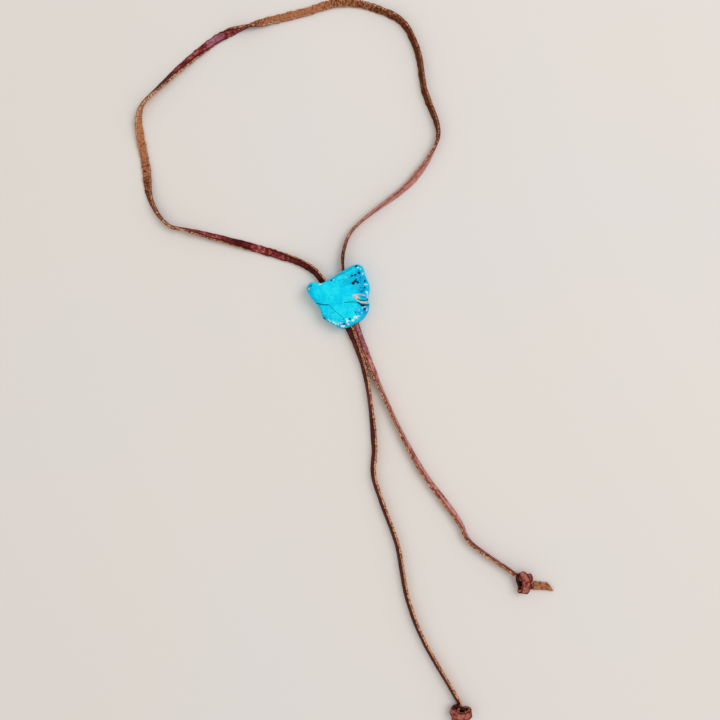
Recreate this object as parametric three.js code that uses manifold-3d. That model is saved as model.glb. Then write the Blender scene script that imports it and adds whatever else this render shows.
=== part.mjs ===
// A lariat necklace lying on a flat surface: one flat leather lace runs from a knotted end up
// through a drilled turquoise slab, once round the neck, down through the slab again and on to
// its second knotted end. The slab slides on the two strands that it holds.
//
// Millimetres. The origin is under the middle of the slab, on the surface that everything lies
// on. +X is to the right, +Y towards the neck loop and +Z up, out of the slab's face.

import * as THREE from "three";
import { mergeVertices } from "three/addons/utils/BufferGeometryUtils.js";
import Module from "manifold-3d";

const wasm = await Module();
wasm.setup();

// Lace
const LACE_WIDTH = 4.2;
const LACE_THICKNESS = 1.5;
const LACE_CORNER = 0.25; // flat cut across each of its four long corners
const LACE_STEPS = 80;
const JOIN_GAP = 0.3; // between the end of the lace's solid and a knot's

// Slab
const SLAB_THICKNESS = 8.5;
const SLAB_ROUNDING = { height: 0.9, inset: 0.7, steps: 2 };
const SLAB_OUTLINE_STEPS = 52;
const DRILL_DIAMETER = 5.4;
const DRILL_HEIGHT = 3.7; // of both holes' axes over the back face
const DRILL_SIDES = 20;
const DRILL_OVERRUN = 12; // past each end of the axis that is given below

// Knots
const KNOT_STEPS = 8; // along each stretch of a knot's lace
const KNOT_LEAD = 2.8; // straight on from the free lace before a knot's first row
const TAG_LENGTH = 15; // from a knot's middle to the middle of its cut end
const TAG_SIDE = -1.9; // sideways from a knot's middle
const CUT_ANGLE = 39; // degrees off square, of the scissor cut on each end
const BLADE = 12; // a block larger than what it cuts off

// The lace's centre line from the short tail's knot to the long tail's, as x and y.
const ROUTE = [
  // short tail, upwards and through the slab
  [91.5, -145.5], [69, -129], [64.5, -120], [43, -90], [23, -50], [9.5, -15.5], [6, -0.5],
  [2.5, 14.5],
  // right side of the neck loop
  [3, 25], [7.5, 35.5], [38, 60.5], [49, 75.5], [53, 87], [45.5, 110], [42, 130], [34.5, 145],
  // top of the loop, right to left
  [25, 151], [3, 156.5], [-20, 151], [-50, 143], [-65.5, 136.5], [-95.5, 111],
  // left side of the loop, downwards
  [-104, 102], [-106, 93], [-102.5, 70], [-99, 50], [-90, 38], [-80, 35.5], [-17, 16.5],
  // through the slab and down the long tail
  [-8.5, 8.5], [-1.5, -4], [5.5, -16.5], [14, -40], [19, -79.5], [18.5, -94], [23, -109],
  [31, -131], [36.5, -159.5], [44, -180], [62.5, -212.5],
];

// How the lace turns about its own length: distance from its first end, and its roll in degrees.
// At 0 its smooth grain side is up, at 90 it stands on its edge with the grain side to the
// right of its run, and at 180 its rough flesh side is up. It twists nearly twice in the loop.
const ROLL = [
  [0, 78], [26, 76], [46, 60], [81, 66], [108, 77], [121, 74], [141, 50], [158, 46],
  [187, 90], [211, 80], [228, 71], [254, 56], [273, 90], [296, 115], [341, 118], [361, 130],
  [381, 170], [411, 182], [421, 205], [431, 268], [441, 322], [454, 372], [471, 407],
  [486, 426], [499, 440], [508, 490], [516, 530], [536, 546], [548, 588], [561, 620],
  [574, 634], [586, 666], [606, 690], [621, 722], [636, 764], [656, 775], [686, 768],
  [698, 788], [746, 787], [776, 796], [900, 796],
];

// How far up the lace is held: distance from its first end, and a share from 0, where it
// lies on the surface, to 1, where its middle is at the height of the slab's holes. Both
// knots are thicker than the lace and lift its ends a little.
const HELD = [
  [0, 0.2], [20, 0], [136, 0], [156, 1], [190, 1], [211, 0],
  [631, 0], [653, 1], [688, 1], [708, 0], [872, 0], [892, 0.2], [900, 0.2],
];

// The slab's outline, anticlockwise from above, and the two ends of each hole's axis.
const SLAB_OUTLINE = [
  [-16.5, 4.5], [-16, 2], [-13, -2.2], [-9.4, -6.6], [-8.2, -11], [-3.3, -14.3], [2.6, -16.8],
  [9.7, -13.9], [14.3, -10], [16.2, -5], [15.6, -1.4], [16.5, 5], [14.5, 10.5], [12.6, 15.8],
  [9.7, 16.8], [3.7, 14.2], [-4, 9.4], [-9.5, 6.8], [-12.5, 7.5], [-15, 7],
];
const DRILLS = [
  { top: [2.5, 14.5], bottom: [9.5, -15.5] },
  { top: [-8.5, 8.5], bottom: [5.5, -16.5] },
];

// Sloping flanks broken off round the slab's face: a point on the crest where the slope starts,
// the compass direction it falls in and its steepness in degrees, and how wide it is.
const FLANKS = [
  { crest: [8, 7.6], towards: 3, slope: 26, width: 18 },
  { crest: [9.6, -7], towards: -25, slope: 30, width: 12 },
  { crest: [1, -12.4], towards: -92, slope: 20, width: 18 },
  { crest: [-8.4, -6.6], towards: 214, slope: 30, width: 13 },
  { crest: [-14.3, 5.4], towards: 168, slope: 30, width: 8 },
];

// Cracks and the notch in the right rim: V-shaped grooves from one point to another at a
// surface height, each as wide as its bar's diagonal.
const CRACKS = [
  { from: [9, -2.3, 8.5], to: [-3.4, -4, 8.5], bar: 0.5 },
  { from: [-3.2, -4, 8.5], to: [-12, -3.5, 8.5], bar: 0.5 },
  { from: [-5.5, -4.2, 8.5], to: [2.8, -11.5, 8.5], bar: 0.5 },
  { from: [8.2, -0.4, 8.4], to: [18, -1.8, 3.4], bar: 2 },
];

// Pits in the darker flank: centre and radius.
const PITS = [
  { at: [9, 8.3, 8.9], radius: 1.7 },
  { at: [7.9, 12, 9.1], radius: 1.2 },
  { at: [11, 13, 8], radius: 1.4 },
];

// An overhand knot, on its own axes: x runs on from the lace to the tag, z is up from the
// surface. The lace goes in at the left, through the middle, back at the right, round the
// outside in one turn, back at the left, and through the middle again to the tag. Each row has
// the centre line's place and the direction of the lace's width there. The end of the free
// lace goes before the first row.
const KNOT = [
  // in through the middle, on edge
  { at: [-1.2, 1.7, 2.9], width: [0, 0, -1] },
  { at: [1.4, 0.7, 3.1], width: [-0.2, -0.2, -1] },
  // back at the right
  { at: [2.6, 1.2, 3.5], width: [-0.6, -0.2, -0.7] },
  { at: [2.4, 2.7, 3.3], width: [-1, 0, -0.3] },
  { at: [1.7, 3.7, 2.2], width: [-1, 0, 0] },
  // round the outside: underneath, up the far side and over the top
  { at: [0.9, 2.6, 1.05], width: [-1, 0, 0] },
  { at: [-0.3, -2.6, 1.15], width: [-1, 0.2, 0] },
  { at: [-0.4, -4.7, 2.3], width: [-1, 0.1, 0] },
  { at: [0, -5, 4.2], width: [-1, 0.1, 0] },
  { at: [0.9, -2.8, 5.7], width: [-1, 0, 0] },
  { at: [1, 0.6, 6.1], width: [-1, -0.1, 0] },
  { at: [-0.2, 3.6, 5.3], width: [-1, -0.3, 0] },
  // back at the left, on edge
  { at: [-1.8, 4.6, 3.9], width: [-0.8, -0.2, 0.5] },
  { at: [-3.2, 2.8, 2.9], width: [-0.3, -0.1, 1] },
  { at: [-2.8, 0.2, 2.7], width: [-0.2, -0.2, 1] },
  // through the middle again, and out flat to the tag
  { at: [-0.6, -1.7, 2.4], width: [-0.5, -0.6, 0.7] },
  { at: [2.6, -1.9, 1.9], width: [-0.2, -1, 0.3] },
  { at: [5.5, -1.7, 1.1], width: [0, -1, 0] },
  { at: [8.5, -1.7, 0.85], width: [0, -1, 0] },
  { at: [TAG_LENGTH + LACE_WIDTH, TAG_SIDE, 0.85], width: [0, -1, 0] },
];
const KNOT_CORE = { at: [-0.4, 0, 3.3], radii: [2.2, 3.4, 2.2] }; // pulled tight, so solid

// Where each knot lies: its middle, the direction of its axis in degrees, which end of the
// lace goes into it, and whether it is the mirror image of the table above.
const KNOT_PLACES = {
  short_tail_knot: { at: [97.9, -151.1], turn: -3.5, end: 0, mirrored: false },
  long_tail_knot: { at: [64.6, -220], turn: -90, end: 1, mirrored: true },
};

const UP = new THREE.Vector3(0, 0, 1);
const radians = THREE.MathUtils.degToRad;

// The value at a distance along a table of [distance, value] rows.
function valueAt(table, distance) {
  const next = Math.max(1, table.findIndex(([from]) => from > distance));
  const [from, low] = table[next - 1];
  const [to, high] = table[next];
  return THREE.MathUtils.mapLinear(distance, from, to, low, high);
}

// A curve that also knows the direction of the lace's width all the way along it, so that a
// flat section stays turned as the leather lies: x across the lace and y out of its grain side.
class LacePath extends THREE.Curve {
  computeFrenetFrames(segments) {
    const frames = { tangents: [], normals: [], binormals: [] };
    for (let i = 0; i <= segments; i++) {
      const t = this.getUtoTmapping(i / segments);
      const tangent = this.getTangent(t);
      const grain = tangent.clone().cross(this.widthAt(t)).normalize();
      frames.tangents.push(tangent);
      frames.normals.push(grain.clone().cross(tangent).normalize());
      frames.binormals.push(grain);
    }
    return frames;
  }
}

// The free lace, lying on the surface as low as its roll lets it.
class LyingLace extends LacePath {
  constructor() {
    super();
    this.plan = new THREE.CatmullRomCurve3(
      ROUTE.map(([x, y]) => new THREE.Vector3(x, y, 0)), false, "centripetal");
    this.plan.arcLengthDivisions = 1600;
    this.arcLengthDivisions = 800;
    this.reach = this.plan.getLength();
  }

  rollAt(t) {
    return radians(valueAt(ROLL, t * this.reach));
  }

  widthAt(t) {
    const left = UP.clone().cross(this.plan.getTangentAt(t)).normalize();
    const roll = this.rollAt(t);
    return left.multiplyScalar(Math.cos(roll)).addScaledVector(UP, Math.sin(roll));
  }

  getPoint(t, target = new THREE.Vector3()) {
    const across = Math.abs(Math.sin(this.rollAt(t)));
    const flat = Math.abs(Math.cos(this.rollAt(t)));
    const corners = [
      [LACE_WIDTH / 2, LACE_THICKNESS / 2 - LACE_CORNER],
      [LACE_WIDTH / 2 - LACE_CORNER, LACE_THICKNESS / 2],
    ];
    const resting = Math.max(...corners.map(([x, y]) => x * across + y * flat));
    target.copy(this.plan.getPointAt(t));
    target.z = THREE.MathUtils.lerp(resting, DRILL_HEIGHT, valueAt(HELD, t * this.reach));
    return target;
  }
}

// A stretch of a knot's lace, from one row of its table to another.
class KnotLace extends LacePath {
  constructor(rows, first, last) {
    super();
    this.places = new THREE.CatmullRomCurve3(rows.map((row) => row.at), false, "centripetal");
    this.widths = new THREE.CatmullRomCurve3(rows.map((row) => row.width));
    this.from = first / (rows.length - 1);
    this.to = last / (rows.length - 1);
  }

  tableShare(t) {
    return THREE.MathUtils.lerp(this.from, this.to, t);
  }

  widthAt(t) {
    return this.widths.getPoint(this.tableShare(t)).normalize();
  }

  getPoint(t, target = new THREE.Vector3()) {
    return this.places.getPoint(this.tableShare(t), target);
  }

  getTangent(t, target = new THREE.Vector3()) {
    return this.places.getTangent(this.tableShare(t), target);
  }
}

// The lace's section: a flat rectangle with its corners cut off.
function laceSection() {
  const x = LACE_WIDTH / 2;
  const y = LACE_THICKNESS / 2;
  const c = LACE_CORNER;
  return new THREE.Shape([
    new THREE.Vector2(x, -y + c), new THREE.Vector2(x, y - c),
    new THREE.Vector2(x - c, y), new THREE.Vector2(-x + c, y),
    new THREE.Vector2(-x, y - c), new THREE.Vector2(-x, -y + c),
    new THREE.Vector2(-x + c, -y), new THREE.Vector2(x - c, -y),
  ]);
}

function laceAlong(path, steps) {
  return new THREE.ExtrudeGeometry(laceSection(), { steps, extrudePath: path });
}

// A closed geometry as a manifold-3d solid, and back.
function solidOf(geometry) {
  const bare = geometry.index ? geometry.toNonIndexed() : geometry.clone();
  bare.deleteAttribute("normal");
  bare.deleteAttribute("uv");
  const merged = mergeVertices(bare, 1e-4);
  return new wasm.Manifold(new wasm.Mesh({
    numProp: 3,
    vertProperties: merged.attributes.position.array,
    triVerts: new Uint32Array(merged.index.array),
  }));
}

function geometryOf(solid) {
  const mesh = solid.getMesh();
  const geometry = new THREE.BufferGeometry();
  geometry.setAttribute("position", new THREE.BufferAttribute(mesh.vertProperties, 3));
  geometry.setIndex(new THREE.BufferAttribute(mesh.triVerts, 1));
  geometry.computeVertexNormals();
  return geometry;
}

// A solid without the small hollows sealed inside it.
function outerSkin(solid) {
  return solid.decompose().reduce((most, part) => (part.volume() > most.volume() ? part : most));
}

// A geometry moved so that its own z axis lies along a direction, from a place.
function aimed(geometry, at, direction) {
  const turn = new THREE.Quaternion().setFromUnitVectors(UP, direction.clone().normalize());
  return geometry.applyQuaternion(turn).translate(at.x, at.y, at.z);
}

// A square bar on edge between two points, which cuts a V-shaped groove.
function grooveBar({ from, to, bar }) {
  const start = new THREE.Vector3(...from);
  const end = new THREE.Vector3(...to);
  const along = end.clone().sub(start);
  const square = new THREE.BoxGeometry(bar, bar, along.length()).rotateZ(Math.PI / 4);
  return aimed(square, start.add(end).multiplyScalar(0.5), along);
}

// A block whose underside is a flank's slope, so that taking it away leaves the flank.
function flankBlock({ crest, towards, slope, width }) {
  const run = 40;
  const block = new THREE.BoxGeometry(run, width, run).translate(run / 2, 0, run / 2);
  block.rotateY(radians(slope)).rotateZ(radians(towards));
  return block.translate(crest[0], crest[1], SLAB_THICKNESS);
}

// One hole for one strand, drilled from the slab's top edge to its bottom edge.
function drillBit({ top, bottom }) {
  const start = new THREE.Vector3(...bottom, DRILL_HEIGHT);
  const end = new THREE.Vector3(...top, DRILL_HEIGHT);
  const along = end.clone().sub(start);
  const length = along.length() + 2 * DRILL_OVERRUN;
  const radius = DRILL_DIAMETER / 2;
  const bit = new THREE.CylinderGeometry(radius, radius, length, DRILL_SIDES);
  return aimed(bit.rotateX(Math.PI / 2), start.add(end).multiplyScalar(0.5), along);
}

// The turquoise slab: flat sawn back, rounded rims, broken flanks, cracks, pits and two holes.
function slabGeometry() {
  const outline = new THREE.CatmullRomCurve3(
    SLAB_OUTLINE.map(([x, y]) => new THREE.Vector3(x, y, 0)), true, "centripetal");
  const shape = new THREE.Shape(
    outline.getSpacedPoints(SLAB_OUTLINE_STEPS).slice(1).map((p) => new THREE.Vector2(p.x, p.y)));
  const blank = new THREE.ExtrudeGeometry(shape, {
    depth: SLAB_THICKNESS - 2 * SLAB_ROUNDING.height,
    bevelThickness: SLAB_ROUNDING.height,
    bevelSize: SLAB_ROUNDING.inset,
    bevelOffset: -SLAB_ROUNDING.inset,
    bevelSegments: SLAB_ROUNDING.steps,
  }).translate(0, 0, SLAB_ROUNDING.height);
  const cutters = [
    ...DRILLS.map(drillBit),
    ...FLANKS.map(flankBlock),
    ...CRACKS.map(grooveBar),
    ...PITS.map(({ at, radius }) => new THREE.SphereGeometry(radius, 10, 8).translate(...at)),
  ];
  return geometryOf(cutters.reduce(
    (slab, cutter) => slab.subtract(solidOf(cutter)), solidOf(blank)));
}

// A knot's rows in the part's own axes, after two that run straight on from the free lace.
function knotRows({ at, turn, end, mirrored }, lace) {
  const side = mirrored ? -1 : 1;
  const rows = KNOT.map((row) => ({
    at: new THREE.Vector3(row.at[0], side * row.at[1], row.at[2])
      .applyAxisAngle(UP, radians(turn)).add(new THREE.Vector3(...at, 0)),
    width: new THREE.Vector3(row.width[0], side * row.width[1], row.width[2])
      .multiplyScalar(side).applyAxisAngle(UP, radians(turn)).normalize(),
  }));
  const outwards = end ? 1 : -1;
  const lead = [JOIN_GAP, JOIN_GAP + KNOT_LEAD].map((past) => ({
    at: lace.getPoint(end).addScaledVector(lace.getTangent(end), outwards * past),
    width: lace.widthAt(end).multiplyScalar(outwards),
  }));
  return [...lead, ...rows];
}

// A knot: its lace in stretches end to end, fused where they pass through each other and
// round a solid core, and a tag cut off at a slant.
function knotGeometry(place, lace) {
  const rows = knotRows(place, lace);
  const side = place.mirrored ? -1 : 1;
  const last = rows.length - 1;
  const joins = [0, 6, 12, last];
  const settle = (geometry) => geometry.rotateZ(radians(place.turn)).translate(...place.at, 0);
  const core = settle(new THREE.SphereGeometry(1, 12, 8).scale(...KNOT_CORE.radii)
    .translate(KNOT_CORE.at[0], side * KNOT_CORE.at[1], KNOT_CORE.at[2]));
  const blade = settle(new THREE.BoxGeometry(BLADE, BLADE, BLADE).translate(BLADE / 2, 0, 0)
    .rotateZ(side * radians(CUT_ANGLE)).translate(TAG_LENGTH, side * TAG_SIDE, 0));
  const fused = joins.slice(1)
    .map((to, i) => solidOf(laceAlong(new KnotLace(rows, joins[i], to), KNOT_STEPS)))
    .reduce((knot, stretch) => knot.add(stretch), solidOf(core))
    .subtract(solidOf(blade));
  return geometryOf(outerSkin(fused));
}

const LEATHER = new THREE.MeshStandardMaterial({ color: 0x7a3f2c, roughness: 0.62, metalness: 0 });
const TURQUOISE = new THREE.MeshStandardMaterial({ color: 0x12c3dc, roughness: 0.42, metalness: 0 });

const necklace = new THREE.Group();

function addPiece(name, geometry, material) {
  const piece = new THREE.Mesh(geometry, material.clone());
  piece.name = name;
  necklace.add(piece);
}

const lace = new LyingLace();
addPiece("leather_lace", laceAlong(lace, LACE_STEPS), LEATHER);
addPiece("turquoise_bead", slabGeometry(), TURQUOISE);
for (const [name, place] of Object.entries(KNOT_PLACES)) {
  addPiece(name, knotGeometry(place, lace), LEATHER);
}

export default necklace;
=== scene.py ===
"""A leather lariat necklace: its flat lace and two knots, its drilled turquoise slab, its stage.

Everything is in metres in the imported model's own axes: the surface that the necklace lies on is
z = 0, +Y runs towards the neck loop and +X to the right.
"""

import bpy
import numpy as np
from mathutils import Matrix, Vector


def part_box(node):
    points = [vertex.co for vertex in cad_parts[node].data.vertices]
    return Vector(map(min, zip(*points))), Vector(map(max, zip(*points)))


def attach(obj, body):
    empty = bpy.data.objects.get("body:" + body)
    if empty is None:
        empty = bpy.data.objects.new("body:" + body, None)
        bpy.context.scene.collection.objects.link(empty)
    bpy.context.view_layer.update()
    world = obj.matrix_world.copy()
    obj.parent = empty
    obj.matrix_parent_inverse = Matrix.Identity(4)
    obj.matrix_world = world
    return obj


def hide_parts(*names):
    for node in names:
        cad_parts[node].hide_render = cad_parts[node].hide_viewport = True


bl_info = {
    "name": "Leather lariat necklace",
    "version": (1, 0, 0),
    "blender": (4, 5, 0),
    "location": "3D View > Sidebar > Necklace",
    "description": "Dresses the model of a leather lariat necklace with a turquoise slab",
    "category": "Object",
}

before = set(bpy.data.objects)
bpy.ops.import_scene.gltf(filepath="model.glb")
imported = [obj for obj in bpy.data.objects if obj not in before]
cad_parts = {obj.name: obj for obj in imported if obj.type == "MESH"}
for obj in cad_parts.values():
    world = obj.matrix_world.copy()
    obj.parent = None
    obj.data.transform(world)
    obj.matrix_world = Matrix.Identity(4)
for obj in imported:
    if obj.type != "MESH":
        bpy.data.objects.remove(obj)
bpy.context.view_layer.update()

SLAB_LOW, SLAB_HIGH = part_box("turquoise_bead")

# The lace's centre line from the short tail's knot to the long tail's, seen from above.
ROUTE = [
    # short tail, upwards and through the slab
    (0.0915, -0.1455), (0.069, -0.129), (0.0645, -0.120), (0.043, -0.090), (0.023, -0.050),
    (0.0095, -0.0155), (0.006, -0.0005), (0.0025, 0.0145),
    # right side of the neck loop
    (0.003, 0.025), (0.0075, 0.0355), (0.038, 0.0605), (0.049, 0.0755), (0.053, 0.087),
    (0.0455, 0.110), (0.042, 0.130), (0.0345, 0.145),
    # top of the loop, right to left
    (0.025, 0.151), (0.003, 0.1565), (-0.020, 0.151), (-0.050, 0.143), (-0.0655, 0.1365),
    (-0.0955, 0.111),
    # left side of the loop, downwards
    (-0.104, 0.102), (-0.106, 0.093), (-0.1025, 0.070), (-0.099, 0.050), (-0.090, 0.038),
    (-0.080, 0.0355), (-0.017, 0.0165),
    # through the slab and down the long tail
    (-0.0085, 0.0085), (-0.0015, -0.004), (0.0055, -0.0165), (0.014, -0.040), (0.019, -0.0795),
    (0.0185, -0.094), (0.023, -0.109), (0.031, -0.131), (0.0365, -0.1595), (0.044, -0.180),
    (0.0625, -0.2125),
]

# Roll of the lace about its own length: distance from its first end, and degrees. At 0 the
# grain side is up, at 90 the lace is on edge, and at 180 the flesh side is up.
ROLL = np.array([
    # short tail
    (0, 84), (0.024, 80), (0.046, 60), (0.081, 66), (0.108, 77), (0.121, 74), (0.141, 50),
    (0.158, 46),
    # right side of the neck loop
    (0.187, 90), (0.198, 97), (0.216, 96), (0.228, 86), (0.240, 70), (0.254, 56), (0.273, 90),
    (0.296, 115), (0.341, 116), (0.361, 119), (0.372, 142),
    # top of the loop
    (0.381, 168), (0.411, 182), (0.421, 205), (0.431, 268), (0.441, 322), (0.454, 372),
    (0.471, 398), (0.486, 418), (0.499, 436), (0.510, 488),
    # left side of the loop
    (0.519, 530), (0.536, 546), (0.547, 588), (0.561, 620), (0.574, 634), (0.586, 666),
    (0.606, 690), (0.621, 722), (0.636, 764), (0.656, 775),
    # long tail
    (0.686, 768), (0.698, 786), (0.712, 788), (0.722, 796), (0.733, 788), (0.742, 778),
    (0.752, 788), (0.776, 790), (0.900, 790),
])
TWIST_EASE = 0.010  # length of lace over which a change of roll is smoothed

# How far up the lace is held, from 0, lying, to 1, in the slab's holes.
HELD = np.array([
    (0, 0.2), (0.020, 0), (0.136, 0), (0.156, 1), (0.190, 1), (0.211, 0), (0.631, 0),
    (0.653, 1), (0.688, 1), (0.708, 0), (0.872, 0), (0.892, 0.2), (0.900, 0.2),
])
HELD_EASE = 0.006  # length of lace over which a change of height is smoothed
SURFACE_GAP = 2e-5  # that everything keeps over the surface

# The slab's holes: the height and diameter of both, and the top and bottom end of each axis.
HOLE_HEIGHT = 0.0037
HOLE_DIAMETER = 0.0054
HOLES = [((0.0025, 0.0145), (0.0095, -0.0155)), ((-0.0085, 0.0085), (0.0055, -0.0165))]
HOLE_OVERRUN = 0.012  # past each end of the axis

# How the finish and the painted light change along the lace, by distance from its first end;
# the knots are before the start and past the end. The first table is how pale the grain
# side is, from -1, dark and waxy, to 1, pale: partly rubbed dye, and partly painted sheen
# where the grain faces the light and painted shade where it faces away, as on the knots'
# shaded sides. The second is a painted lilac highlight on the grain above 0, and below 0
# how far the grain is worn through to the tan hide. The third is how brown the flesh side
# is, from -1, dark, to 1, light, and darker with painted shade where it faces away from the
# light; towards -2 the edges are dark too: painted shade on the knots' shaded sides, and
# darker where the lace comes out at the top of the slab.
DYE_AND_LIGHT = np.array([
    # short tail's knot, from its tag
    (-0.064, 0), (-0.052, 0), (-0.048, -0.8), (-0.040, -0.6), (-0.036, 0.2), (-0.028, 0.3),
    (-0.024, -0.4), (-0.017, -0.5), (-0.014, 0.2), (-0.007, 0.2), (-0.004, 0),
    # short tail
    (0, 0.3), (0.030, 0.3), (0.038, 0.8), (0.140, 0.8), (0.146, 0.2), (0.160, 0.1),
    # neck loop
    (0.180, -0.5), (0.191, -0.9), (0.197, 0.9), (0.236, 1.1), (0.243, 1.1), (0.262, 1.0),
    (0.275, 0.6), (0.290, 0), (0.425, -0.1), (0.436, 0.1), (0.452, 0.3), (0.458, 0),
    (0.472, -0.1), (0.478, -0.9), (0.492, -1.0), (0.520, -0.4), (0.580, -0.3), (0.586, 0.2),
    (0.594, 0), (0.603, -0.6), (0.611, -0.7), (0.614, 0.3), (0.617, 0.8), (0.620, 0.1),
    (0.632, 0), (0.641, -0.8), (0.660, -1.0),
    # long tail
    (0.712, -1.0), (0.724, -0.4), (0.736, -0.7), (0.750, -0.7), (0.760, -0.9), (0.895, -0.9),
    # long tail's knot
    (0.900, 0.2), (0.906, 0.2), (0.909, -0.5), (0.916, -0.5), (0.920, 0.2), (0.928, 0.2),
    (0.932, -0.6), (0.940, -0.8), (0.944, 0), (0.956, 0),
])
SHEEN_AND_WEAR = np.array([
    # short tail's knot
    (-0.041, 0), (-0.037, -0.55), (-0.027, -0.55), (-0.024, 0), (-0.017, 0), (-0.014, -0.55),
    (-0.007, -0.55), (-0.004, 0),
    # painted lilac highlights, below the slab and at the top of the neck loop
    (0.138, 0), (0.145, 0.5), (0.158, 0.5), (0.165, 0),
    (0.432, 0), (0.440, 0.25), (0.445, 0.6), (0.451, 0.6), (0.455, 0.2), (0.462, 0),
    # long tail's knot
    (0.896, 0), (0.900, -0.55), (0.906, -0.55), (0.909, 0), (0.916, 0), (0.920, -0.55),
    (0.929, -0.55), (0.932, 0),
])
NAP_AND_SHADE = np.array([
    # short tail's knot, from its tag, with painted shade on its side away from the light
    (-0.064, 0.3), (-0.053, 0.2), (-0.049, -2.0), (-0.038, -2.0), (-0.034, -0.5),
    (-0.020, -0.8), (-0.004, -0.5),
    # neck loop, with painted shade on the flesh side where it faces away from the light
    (0, 0), (0.176, 0), (0.186, -1.7), (0.200, -1.5), (0.214, -0.3), (0.265, 0), (0.278, -0.9),
    (0.335, -1.0), (0.348, -0.5), (0.380, 0), (0.392, 0.4), (0.418, 0.3), (0.428, -0.3),
    (0.440, 0), (0.505, 0.7), (0.520, 0.5), (0.532, 0.1), (0.538, 0), (0.548, -0.6), (0.580, 0),
    # long tail and its knot, with painted shade on the knot's side away from the light
    (0.690, 0), (0.750, 0.5), (0.892, 0.6), (0.896, -0.5), (0.912, -0.8), (0.926, -0.5),
    (0.930, -2.0), (0.941, -2.0), (0.945, 0.2), (0.956, 0.3),
])

# An overhand knot on its own axes: x runs on from the lace to the tag and z is up. Each row
# has the centre line's place and the direction of the lace's width.
KNOT = [
    # in through the middle, on edge
    ((-0.0012, 0.0017, 0.0029), (0, 0, -1)), ((0.0014, 0.0007, 0.0031), (-0.2, -0.2, -1)),
    # back at the right
    ((0.0026, 0.0012, 0.0035), (-0.6, -0.2, -0.7)), ((0.0024, 0.0027, 0.0033), (-1, 0, -0.3)),
    ((0.0017, 0.0037, 0.0022), (-1, 0, 0)),
    # round the outside: underneath, up the far side and over the top
    ((0.0009, 0.0026, 0.00105), (-1, 0, 0)), ((-0.0003, -0.0026, 0.00115), (-1, 0.2, 0)),
    ((-0.0004, -0.0047, 0.0023), (-1, 0.1, 0)), ((0, -0.0050, 0.0042), (-1, 0.1, 0)),
    ((0.0009, -0.0028, 0.0057), (-1, 0, 0)), ((0.0010, 0.0006, 0.0061), (-1, -0.1, 0)),
    ((-0.0002, 0.0036, 0.0053), (-1, -0.3, 0)),
    # back at the left, on edge
    ((-0.0018, 0.0046, 0.0039), (-0.8, -0.2, 0.5)), ((-0.0032, 0.0028, 0.0029), (-0.3, -0.1, 1)),
    ((-0.0028, 0.0002, 0.0027), (-0.2, -0.2, 1)),
    # through the middle again, and out flat to the tag's cut end
    ((-0.0006, -0.0017, 0.0024), (-0.5, -0.6, 0.7)), ((0.0026, -0.0019, 0.0019), (-0.2, -1, 0.3)),
    ((0.0055, -0.0017, 0.0011), (0, -1, 0)), ((0.0085, -0.0017, 0.00085), (0, -1, 0)),
    ((0.0150, -0.0019, 0.00085), (0, -1, 0)),
]
KNOT_LEAD = 0.0031  # straight on from the free lace before a knot's first row
KNOT_STEP = 0.0003  # between the rings of a knot's mesh
CUT_ANGLE = 39  # degrees off square, of the scissor cut on each tag
CUT_REACH = (0.002, 0.008)  # from the cut end: rings lean over fully up to here, and then less
# Each knot's middle, the direction of its axis in degrees, and whether it is the mirror image.
KNOT_PLACES = {
    "short_tail_knot": ((0.0979, -0.1511), -3.5, False),
    "long_tail_knot": ((0.0646, -0.2200), -90, True),
}

# The slab's outline, anticlockwise from above.
OUTLINE = [
    (-0.0165, 0.0045), (-0.0160, 0.0020), (-0.0130, -0.0022), (-0.0094, -0.0066),
    (-0.0082, -0.0110), (-0.0033, -0.0143), (0.0026, -0.0168), (0.0097, -0.0139),
    (0.0143, -0.0100), (0.0162, -0.0050), (0.0156, -0.0014), (0.0165, 0.0050),
    (0.0145, 0.0105), (0.0126, 0.0158), (0.0097, 0.0168), (0.0037, 0.0142),
    (-0.0040, 0.0094), (-0.0095, 0.0068), (-0.0125, 0.0075), (-0.0150, 0.0070),
]
# Broken flanks round its face: a place on the crest, the direction of the fall and its
# steepness in degrees, and the width.
FLANKS = [
    ((0.0080, 0.0076), 3, 26, 0.018), ((0.0096, -0.0070), -25, 30, 0.012),
    ((0.0010, -0.0124), -92, 20, 0.018), ((-0.0084, -0.0066), 214, 30, 0.013),
    ((-0.0143, 0.0054), 168, 30, 0.008),
]


# ---------------------------------------------------------------- shared shape functions

def smooth_step(low, high, value):
    """0 below low, 1 above high and a smooth S between them: 3 t squared - 2 t cubed."""
    t = np.clip((value - low) / (high - low), 0, 1)
    return t * t * (3 - 2 * t)


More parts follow.
